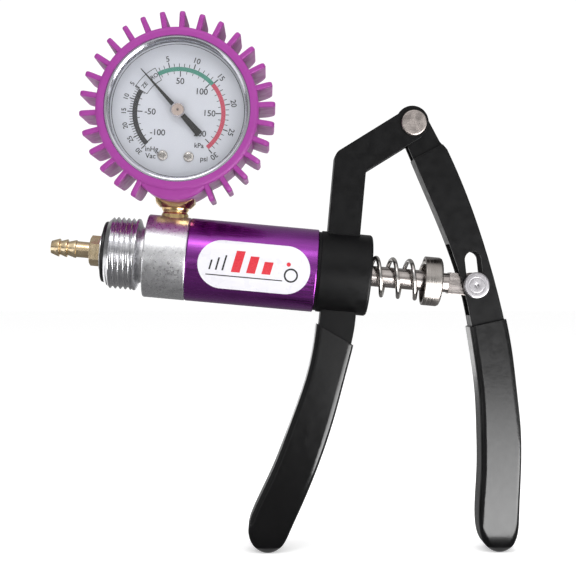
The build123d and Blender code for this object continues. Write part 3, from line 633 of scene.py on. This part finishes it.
GAUGE = gauge_matrix()


# ----------------------------------------------------------- cylinder pieces
def clamp(value):
    return max(0.0, min(1.0, value))


def thread_radius(distance, radius, turn):
    """Crest-to-root wave of a right-handed thread, faded out at both ends."""
    if distance >= COLLAR_END:
        return radius
    start, end = THREAD_SPAN
    fade = clamp((distance - start) / THREAD_FADE) * clamp((end - distance) / THREAD_FADE)
    wave = 0.5 - 0.5 * cos(tau * (distance / THREAD_PITCH - turn + THREAD_PHASE))
    return min(radius, COLLAR_R - THREAD_DEPTH * fade * wave ** THREAD_POWER)


def head_profile():
    """The head's half section: the collar in fine steps for its thread, then body and bores."""
    count = int((COLLAR_END - 2 * COLLAR_EDGE) / COLLAR_STEP)
    places = [COLLAR_STEP * k for k in range(count)]
    collar = [(COLLAR_EDGE + x, min(COLLAR_R, COLLAR_FACE_R + COLLAR_EDGE + x)) for x in places]
    outside = [
        (COLLAR_END, COLLAR_R - COLLAR_BACK_EDGE), (NECK_SPAN[0], NECK_R), (NECK_SPAN[1], NECK_R),
        (NECK_SPAN[1], BARREL_R), (TUBE_START, BARREL_R), (TUBE_START, SPIGOT_R)]
    body = rounded(outside, HEAD_ROUND, closed=False)
    low, high, floor = RING_GROOVE
    inside = [
        (low, SPIGOT_R), (low, floor), (high, floor), (high, SPIGOT_R), (SPIGOT_END, SPIGOT_R),
        (SPIGOT_END, RETAINER_R), (VALVE_CHAMBER[0], RETAINER_R), VALVE_CHAMBER,
        (VALVE_SEAT[0], VALVE_CHAMBER[1]), VALVE_SEAT, (STUD_HOLE[0], VALVE_SEAT[1]), STUD_HOLE,
        (0.0, STUD_HOLE[1])]
    return [(0.0, COLLAR_FACE_R - COLLAR_STEP)] + collar + body + inside


def cylinder_head():
    points, faces = revolve(head_profile(), True, steps=144, radius_at=thread_radius)
    finish = FINISHES["head_aluminium"]
    head = build("cylinder_head_threaded", points, faces, finish, "pump")
    low, high = PORT_SPAN
    outline = [(low, 0), (low, PORT_R), (high, PORT_R), (high, 0)]
    hole, hole_faces = revolve(outline, False, steps=48)
    to_port = GAUGE @ Matrix.Translation((0, 0, -GAUGE_HEIGHT))
    carve(head, [to_port @ Vector((-z, y, x)) for x, y, z in hole], hole_faces)
    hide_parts("cylinder_head")


def open_shares(count, turns):
    """For each step along the wire, 0 where its turns are closed and 1 where they are open."""
    shares = []
    for step in range(count):
        turn = step / TURN_STEPS
        rise = clamp((turn - CLOSED_TURNS + CLOSED_BLEND / 2) / CLOSED_BLEND)
        fall = clamp((turns - CLOSED_TURNS + CLOSED_BLEND / 2 - turn) / CLOSED_BLEND)
        shares.append(min(rise, fall))
    return shares


def wire_faces(count):
    """Quads round a wire of that many steps, and one face on each end."""
    faces = []
    for step in range(count):
        low, high = step * WIRE_SIDES, (step + 1) * WIRE_SIDES
        for index in range(WIRE_SIDES):
            after = (index + 1) % WIRE_SIDES
            faces.append((low + index, low + after, high + after, high + index))
    faces.append(tuple(range(WIRE_SIDES)))
    faces.append(tuple(range(count * WIRE_SIDES, (count + 1) * WIRE_SIDES)))
    return faces


def coil(span, radius, wire, turns, phase):
    """Right-handed compression spring along X with its end turns closed up."""
    count = int(turns * TURN_STEPS)
    shares = open_shares(count, turns)
    shut = 2 * wire / TURN_STEPS
    spare = span[1] - span[0] - shut * sum(1 - share for share in shares)
    open_step = spare / sum(shares)
    points, distance = [], span[0]
    for step in range(count + 1):
        angle = tau * (step / TURN_STEPS + phase)
        out = Vector((0, -sin(angle), cos(angle)))
        share = shares[min(step, count - 1)]
        advance = open_step * share + shut * (1 - share)
        round_x = Vector((0, -cos(angle), -sin(angle))) * (tau * radius / TURN_STEPS)
        tangent = Vector((advance, 0, 0)) + round_x
        side = tangent.normalized().cross(out)
        centre = Vector((distance, 0, 0)) + out * radius
        for index in range(WIRE_SIDES):
            a = tau * index / WIRE_SIDES
            points.append(centre + (out * cos(a) + side * sin(a)) * wire)
        distance += advance
    return points, wire_faces(count)


def springs():
    steel = FINISHES["spring_steel"]
    points, faces = coil(RETURN_SPAN, RETURN_R, RETURN_WIRE, RETURN_TURNS, RETURN_PHASE)
    spring = build("return_coil", points, faces, steel, "pump")
    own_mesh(spring)
    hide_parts("return_spring")
    points, faces = coil(VALVE_SPAN, VALVE_R, VALVE_WIRE, VALVE_TURNS, 0.0)
    spring = build("inlet_valve_coil", points, faces, steel, "pump")
    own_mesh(spring)
    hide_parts("inlet_valve_spring")


def headed_pin(name, node, place, head_r, shank_r, chamfer, marks, body, finish):
    """Rivet along Y whose head faces -Y, with marks of (depth, radius) in that face."""
    low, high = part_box(node)
    front, back = low[1] / MM, high[1] / MM
    under = front + HEAD_THICK
    profile = [(front + depth, radius) for depth, radius in marks] + [
        (front, head_r - chamfer[1]), (front + chamfer[0], head_r), (under, head_r), (under, shank_r),
        (back, shank_r), (back, 0)]
    points, faces = revolve(rounded(profile, PIN_ROUND, closed=False), False)
    pin = build(name, about_y(points, place), faces, finish, body)
    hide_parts(node)


def pins():
    headed_pin(
        "pivot_rivet", "pivot_pin", PIVOT, PIVOT_HEAD_R, PIVOT_SHANK_R, PIVOT_CHAMFER, [(0, 0)],
        "pump", FINISHES["pin_steel"])
    headed_pin(
        "rod_rivet", "rod_pin", ROD_PIN, ROD_HEAD_R, ROD_SHANK_R, ROD_CHAMFER, PUNCH_MARK + RING_MARK,
        "rod", RIVET_METAL)


# -------------------------------------------------------------- gauge pieces
def on_gauge(points):
    """Points turned about X, stood on the gauge's own axis."""
    return [GAUGE @ Vector((-y, x, z)) for x, y, z in points]


def gauge_bezel():
    """Chromed ring, rolled over the window's edge."""
    outline = [
        (RING_BACK, CASE_R), (RING_BACK, RING_R), (RING_FRONT + RING_OUTER_DROP, RING_R),
        (RING_FRONT, RING_R - RING_CUT), (RING_FRONT, RING_OPENING_R + RING_CUT),
        (RING_FRONT + RING_INNER_DROP, RING_OPENING_R), (WINDOW_FRONT, RING_OPENING_R),
        (WINDOW_FRONT, CASE_R)]
    points, faces = revolve(rounded(outline, RING_ROUND), True, steps=144)
    points = on_gauge(points)
    bezel = build("gauge_ring_rolled", points, faces, FINISHES["chrome"], "pump")
    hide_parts("gauge_bezel")


def at_angle(radius, angle):
    """(across, up) at that radius; the angle is in degrees clockwise from straight up."""
    return (radius * sin(radians(angle)), radius * cos(radians(angle)))


class Ink:
    """Thin print built from flat quads in (across, up) millimetres, then laid on a surface."""

    def __init__(self):
        self.points = []
        self.faces = []

    def patch(self, corners):
        first = len(self.points)
        self.points += corners
        self.faces.append(tuple(range(first, first + len(corners))))

    def arc(self, inner, outer, start, end, centre=(0, 0)):
        """Part of a ring, from one angle to the other."""
        count = max(2, int(abs(end - start) / ARC_STEP))
        if end < start:
            start, end = end, start
        for step in range(count):
            a, b = (start + (end - start) * (step + k) / count for k in (0, 1))
            corners = [at_angle(r, t) for r, t in ((inner, a), (inner, b), (outer, b), (outer, a))]
            self.patch([(centre[0] + across, centre[1] + up) for across, up in corners])

    def tick(self, inner, outer, angle, width):
        """Radial bar at that angle."""
        t = radians(angle)
        out, side = Vector((sin(t), cos(t))), Vector((cos(t), -sin(t))) * width / 2
        corners = (out * inner - side, out * inner + side, out * outer + side, out * outer - side)
        self.patch([tuple(corner) for corner in corners])

    def bar(self, centre, length, height, slant=0.0, rows=8):
        """Upright bar in short rows, so that it can bend round the tube."""
        for row in range(rows):
            low, high = (-height / 2 + height * (row + k) / rows for k in (0, 1))
            corners = [(-length / 2, low), (length / 2, low), (length / 2, high), (-length / 2, high)]
            self.patch([(centre[0] + u + slant * v, centre[1] + v) for u, v in corners])

    def words(self, text, size, centre, turn=0.0, weight=0.035):
        """Generic dial lettering in Blender's built-in face, turned clockwise in degrees."""
        curve = bpy.data.curves.new("words", "FONT")
        curve.body = text
        curve.size = size
        curve.offset = weight
        curve.align_x = "CENTER"
        curve.align_y = "CENTER"
        holder = bpy.data.objects.new("words", curve)
        mesh = bpy.data.meshes.new_from_object(holder)
        first = len(self.points)
        across, up = cos(radians(turn)), sin(radians(turn))
        for x, y, _ in (vertex.co for vertex in mesh.vertices):
            self.points.append((centre[0] + x * across + y * up, centre[1] - x * up + y * across))
        self.faces += [tuple(first + index for index in face.vertices) for face in mesh.polygons]
        bpy.data.objects.remove(holder)
        bpy.data.meshes.remove(mesh)

    def lay(self, name, finish, place):
        """Makes the print a piece; place turns (across, up) into a point of the frame."""
        piece = build(name, [place(*point) for point in self.points], self.faces, finish, "pump")
        piece.data.shade_flat()
        thick = piece.modifiers.new("thickness", "SOLIDIFY")
        thick.thickness = PRINT_THICK * MM
        thick.offset = 0.0


def on_dial(across, up):
    return GAUGE @ Vector((across, DIAL_FRONT - PRINT_THICK, up))


def on_scale(across, up):
    """The scales are printed a little off the pointer's centre."""
    return on_dial(across + SCALE_SHIFT[0], up + SCALE_SHIFT[1])


def psi_angle(value):
    return ZERO_ANGLE + PSI_STEP * value


def inhg_angle(value):
    return ZERO_ANGLE + INHG_STEP * value


def psi_kpa_angle(value):
    return psi_angle(value / KPA_PER_PSI)


def inhg_kpa_angle(value):
    return inhg_angle(value / KPA_PER_INHG)


def outer_ticks(ink, angle_of, first):
    for value in range(first, SCALE_TOP + 1):
        length, width = SHORT_TICK if value % 5 else LONG_TICK
        ink.tick(TICK_R, TICK_R + length, angle_of(value), width)


def inner_ticks(ink, angle_of, values):
    outer = SCALE_R - INNER_GAP
    for value in values:
        length, width = SHORT_INNER_TICK if value % 50 else LONG_INNER_TICK
        ink.tick(outer - length, outer, angle_of(value), width)


def dial_numbers(ink):
    """Outer numbers turn with their scale; the kPa numbers inside it stay upright."""
    for value in range(5, SCALE_TOP + 1, 5):
        ink.words(str(value), PSI_SIZE, at_angle(NUMERAL_R, psi_angle(value)), psi_angle(value))
        ink.words(str(value), INHG_SIZE, at_angle(NUMERAL_R, inhg_angle(value)), inhg_angle(value))
    for value in range(50, 201, 50):
        ink.words(str(value), KPA_SIZE, at_angle(KPA_R - value / KPA_PER_INWARD_MM, psi_kpa_angle(value)))
    for value in (50, 100):
        ink.words(f"-{value}", KPA_SIZE, at_angle(KPA_VACUUM_R, inhg_kpa_angle(value)))


def zero_box(ink):
    """Outlined box round the zero mark, with the arc's ends at its sides."""
    low, high = ZERO_BOX
    inner, outer = SCALE_R - ZERO_HALF, SCALE_R + ZERO_HALF
    for radius in (inner, outer):
        ink.arc(radius - ZERO_LINE / 2, radius + ZERO_LINE / 2, low, high)
    for side in ZERO_BOX:
        ink.tick(inner, outer, side, ZERO_LINE)
    for text, angle in (("ZE", low + ZERO_INSET[0]), ("RO", high + ZERO_INSET[1])):
        ink.words(text, ZERO_SIZE, at_angle(SCALE_R, angle), angle)


def black_print():
    """Vacuum arc, ticks, numbers, zero box and units."""
    black = Ink()
    half = BLACK_WIDTH / 2
    black.arc(SCALE_R - half, SCALE_R + half, inhg_angle(SCALE_TOP), ZERO_BOX[0])
    outer_ticks(black, inhg_angle, 5)
    outer_ticks(black, psi_angle, 3)
    inner_ticks(black, psi_kpa_angle, range(20, 201, 10))
    inner_ticks(black, inhg_kpa_angle, range(20, 101, 10))
    dial_numbers(black)
    zero_box(black)
    for text, (size, place) in UNITS.items():
        black.words(text, size, place)
    black.lay("dial_print_black", INK_BLACK, on_scale)


def rim_print():
    rim = Ink()
    rim.arc(*RIM_LINE, 0, 360)
    rim.lay("dial_print_rim", INK_BLACK, on_dial)


def colour_print(name, finish, start, end):
    """Coloured arc of the pressure scale."""
    half = COLOUR_WIDTH / 2
    arc = Ink()
    arc.arc(SCALE_R - half, SCALE_R + half, start, end)
    arc.lay(name, finish, on_scale)


def dial_print():
    black_print()
    rim_print()
    colour_print("dial_print_green", INK_GREEN, ZERO_BOX[1], psi_angle(GREEN_TOP))
    colour_print("dial_print_red", INK_RED, psi_angle(GREEN_TOP), psi_angle(SCALE_TOP))


def cross_recess(screw, side, place):
    """Two crossed slots in the head; the two screws' are turned opposite ways."""
    middle = Vector((place[0], 0, place[1]))
    turn = Matrix.Rotation(radians(RECESS_TURN * side), 4, "Y")
    turned = Matrix.Translation(middle) @ turn @ Matrix.Translation(-middle)
    for half_x, half_z in (RECESS_HALF, RECESS_HALF[::-1]):
        corners = [(place[0] + x * half_x, y, place[1] + z * half_z)
                   for x in (-1, 1) for y in RECESS_SPAN for z in (-1, 1)]
        carve(screw, [GAUGE @ turned @ Vector(corner) for corner in corners], BOX_FACES)


def dial_screws():
    """Pan heads with a cross recess, on short shanks."""
    outline = [
        (SCREW_TOP, 0), (SCREW_TOP, SCREW_FLAT_R), (SCREW_SIDE, SCREW_HEAD_R), (DIAL_FRONT, SCREW_HEAD_R),
        (DIAL_FRONT, SCREW_SHANK_R), (SCREW_END, SCREW_SHANK_R), (SCREW_END, 0)]
    profile = rounded(outline, SCREW_ROUND, closed=False)
    for side in (-1, 1):
        points, faces = revolve(profile, False, steps=40)
        place = (side * SCREW_PLACE[0], SCREW_PLACE[1])
        stood = [GAUGE @ Vector(point) for point in about_y(points, place)]
        name = "dial_screw_left" if side < 0 else "dial_screw_right"
        screw = build(name, stood, faces, SCREW_METAL, "pump")
        cross_recess(screw, side, place)
        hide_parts("dial_screws")


def pointer_cap():
    """Polished rim and dark centre dot on the pointer's hub."""
    inner, outer = HUB_RIM
    top = HUB_FACE - HUB_RIM_HEIGHT
    outline = [
        (HUB_FACE, inner), (HUB_FACE, outer), (top, outer - HUB_RIM_SLOPE), (top, inner + HUB_RIM_SLOPE)]
    rim, faces = revolve(rounded(outline, HUB_RIM_ROUND), True, steps=64)
    build("pointer_hub_rim", on_gauge(rim), faces, FINISHES["chrome"], "pointer")
    top = HUB_FACE - HUB_DOT_HEIGHT
    outline = [(HUB_FACE, 0), (HUB_FACE, HUB_DOT_R), (top, HUB_DOT_R - HUB_DOT_SLOPE), (top, 0)]
    dot, faces = revolve(outline, False, steps=24)
    build("pointer_hub_dot", on_gauge(dot), faces, INK_BLACK, "pointer")


# --------------------------------------------------------------------- label
def on_tube(across, up):
    """Wraps the print round the tube, just above the label."""
    up += LABEL_Z
    return (LABEL_X + across, -sqrt(LABEL_R ** 2 - up ** 2) - PRINT_THICK, up)


def stepped(place, step, index):
    """The place that many steps on from the first."""
    return (place[0] + step[0] * index, place[1] + step[1] * index)


def label_mark():
    """Abstract mark: stepped bars and a dot; strokes, a rule under them and a small ring."""
    red = Ink()
    for index in range(BAR_COUNT):
        height = BAR_SIZE[1] - BAR_SHRINK * index
        red.bar(stepped(BAR_PLACE, BAR_STEP, index), BAR_SIZE[0], height, MARK_SLANT)
    red.arc(0.0, DOT_R, 0, 360, DOT_PLACE)
    red.lay("label_mark_red", LABEL_RED, on_tube)
    black = Ink()
    for index in range(STROKE_COUNT):
        height = STROKE_SIZE[1] + STROKE_GROWTH * index
        black.bar(stepped(STROKE_PLACE, STROKE_STEP, index), STROKE_SIZE[0], height, MARK_SLANT)
    black.bar(RULE_PLACE, *RULE_SIZE, rows=1)
    black.arc(*CIRCLE_LINE, 0, 360, CIRCLE_PLACE)
    black.lay("label_mark_black", LABEL_BLACK, on_tube)


# ---------------------------------------------------------------- soft edges
# Widths of the rounded edges, by node
SOFT_EDGES = {
    "hose_barb": 0.12, "barb_washer": 0.15, "barrel_tube": 0.15, "rear_cap": 0.3, "fixed_handle": 0.25,
    "lever": 0.25, "piston_rod": 0.3, "gauge_socket": 0.3,
    "spring_cup": 0.15, "front_gasket": 0.25, "fixed_grip": 0.3, "lever_grip": 0.3}


def soften(node, width):
    """Rounds the CAD edges that catch the light. Only modifiers, so the CAD mesh stays."""
    weld = node.modifiers.new("weld", "WELD")
    weld.merge_threshold = 1e-6
    flat = node.modifiers.new("planar", "DECIMATE")
    flat.decimate_type = "DISSOLVE"
    flat.angle_limit = radians(0.5)
    edge = node.modifiers.new("edge", "BEVEL")
    edge.width = width * MM
    edge.segments = 2
    edge.limit_method = "ANGLE"
    edge.angle_limit = radians(40)
    edge.harden_normals = False
    node.modifiers.new("normals", "WEIGHTED_NORMAL")


def soften_nodes():
    for name, width in SOFT_EDGES.items():
        soften(frame["nodes"][name], width)


# -------------------------------------------------------------------- studio
def on_floor(x, y, above):
    """A point over the floor, which slopes under the two handle tips."""
    height = FLOOR_POINT[1] + (x - FLOOR_POINT[0]) * tan(radians(FLOOR_TILT))
    return Vector((x, y, height + above)) * MM


def sheet(name, across, along, above, finish):
    """Flat sheet parallel to the sloping floor: across spans X, along spans Y."""
    corners = [(across[0], along[0]), (across[1], along[0]), (across[1], along[1]), (across[0], along[1])]
    mesh = bpy.data.meshes.new(name)
    mesh.from_pydata([on_floor(x, y, above) for x, y in corners], [], [(0, 1, 2, 3)])
    mesh.materials.append(finish.material)
    plane = bpy.data.objects.new(name, mesh)
    bpy.context.scene.collection.objects.link(plane)
    return plane


def only_reflected(plane):
    """Studio card that shows nowhere but in reflections."""
    plane.visible_camera = False
    plane.visible_diffuse = False
    plane.visible_transmission = False
    plane.visible_shadow = False


def glow():
    """Light that fades from the card's near end to its far end."""
    finish = Finish("glow_card", (0, 0, 0), 1.0, Emission_Color=(1, 1, 1, 1))
    where = finish.add("TexCoord")
    parts = finish.add("SeparateXYZ")
    finish.join(where.outputs["Object"], parts.inputs["Vector"])
    far, near = GLOW_ALONG
    level = finish.between(parts.outputs["Y"], GLOW_FAR, GLOW_NEAR, far * MM, near * MM)
    finish.join(level, finish.shader.inputs["Emission Strength"])
    return finish


def ramp(tree, source, stops):
    """Grey levels that follow a value from 0 to 1."""
    node = tree.nodes.new("ShaderNodeValToRGB")
    while len(node.color_ramp.elements) < len(stops):
        node.color_ramp.elements.new(0.5)
    for stop, (place, level) in zip(node.color_ramp.elements, stops):
        stop.position = place
        stop.color = (level, level, level, 1.0)
    tree.links.new(source, node.inputs["Fac"])
    return node.outputs["Color"]


def sums(tree, operation, *values):
    """A math node; each value is a number or another node's output."""
    node = tree.nodes.new("ShaderNodeMath")
    node.operation = operation
    for socket, value in zip(node.inputs, values):
        if isinstance(value, (int, float)):
            socket.default_value = value
        else:
            tree.links.new(value, socket)
    return node.outputs["Value"]


def world():
    """White for the camera; a banded room for light and reflections."""
    sky = bpy.data.worlds.new("studio")
    sky.use_nodes = True
    tree = sky.node_tree
    tree.nodes.clear()
    out = tree.nodes.new("ShaderNodeOutputWorld")
    mix = tree.nodes.new("ShaderNodeMixShader")
    path = tree.nodes.new("ShaderNodeLightPath")
    seen = tree.nodes.new("ShaderNodeBackground")
    lit = tree.nodes.new("ShaderNodeBackground")
    where = tree.nodes.new("ShaderNodeTexCoord")
    parts = tree.nodes.new("ShaderNodeSeparateXYZ")
    seen.inputs["Color"].default_value = (1, 1, 1, 1)
    seen.inputs["Strength"].default_value = BACKDROP
    tree.links.new(where.outputs["Generated"], parts.inputs["Vector"])
    toward = sums(tree, "MULTIPLY", parts.outputs["Y"], -1.0)
    turn = sums(tree, "ARCTAN2", parts.outputs["Z"], toward)
    stops = [((angle + 180) / 360, level) for angle, level in ROOM]
    band = ramp(tree, sums(tree, "MULTIPLY_ADD", turn, 1 / tau, 0.5), stops)
    side = ramp(tree, sums(tree, "ABSOLUTE", parts.outputs["X"]), SIDES)
    tree.links.new(band, lit.inputs["Color"])
    tree.links.new(side, lit.inputs["Strength"])
    tree.links.new(path.outputs["Is Camera Ray"], mix.inputs["Fac"])
    tree.links.new(lit.outputs["Background"], mix.inputs[1])
    tree.links.new(seen.outputs["Background"], mix.inputs[2])
    tree.links.new(mix.outputs["Shader"], out.inputs["Surface"])
    bpy.context.scene.world = sky


def lamp(name, place, size, power, reflected):
    light = bpy.data.lights.new(name, "AREA")
    light.shape = "RECTANGLE"
    light.size, light.size_y = (s * MM for s in size)
    light.energy = power
    holder = bpy.data.objects.new(name, light)
    holder.visible_glossy = reflected
    holder.location = Vector(place) * MM
    direction = Vector(LAMP_TARGET) - Vector(place)
    holder.rotation_euler = direction.to_track_quat("-Z", "Y").to_euler()
    bpy.context.scene.collection.objects.link(holder)


def studio():
    paper = Finish(
        "floor_paper", (248, 248, 248), 0.9, Emission_Color=(1, 1, 1, 1), Emission_Strength=FLOOR_GLOW)
    reach = (-FLOOR_HALF, FLOOR_HALF)
    sheet("floor", reach, reach, 0.0, paper)
    felt = Finish("felt_card", (124, 124, 124), 0.95)
    only_reflected(sheet("felt_card", FELT_ACROSS, FELT_ALONG, FELT_ABOVE, felt))
    only_reflected(sheet("glow_card", GLOW_ACROSS, GLOW_ALONG, GLOW_ABOVE, glow()))
    world()
    for name, settings in LAMPS.items():
        lamp(name, *settings)


def camera():
    data = bpy.data.cameras.new("camera")
    data.lens = CAMERA_LENS
    data.sensor_width = 36.0
    data.clip_start = 0.01
    data.clip_end = 50.0
    holder = bpy.data.objects.new("camera", data)
    holder.location = Vector(CAMERA_AT) * MM
    holder.rotation_euler = Euler([radians(turn) for turn in CAMERA_TURN])
    bpy.context.scene.collection.objects.link(holder)
    bpy.context.scene.camera = holder
    bpy.context.scene.view_settings.view_transform = "Standard"


paint_nodes()
soften_nodes()
cylinder_head()
springs()
pins()
gauge_bezel()
dial_print()
dial_screws()
pointer_cap()
label_mark()
studio()
camera()
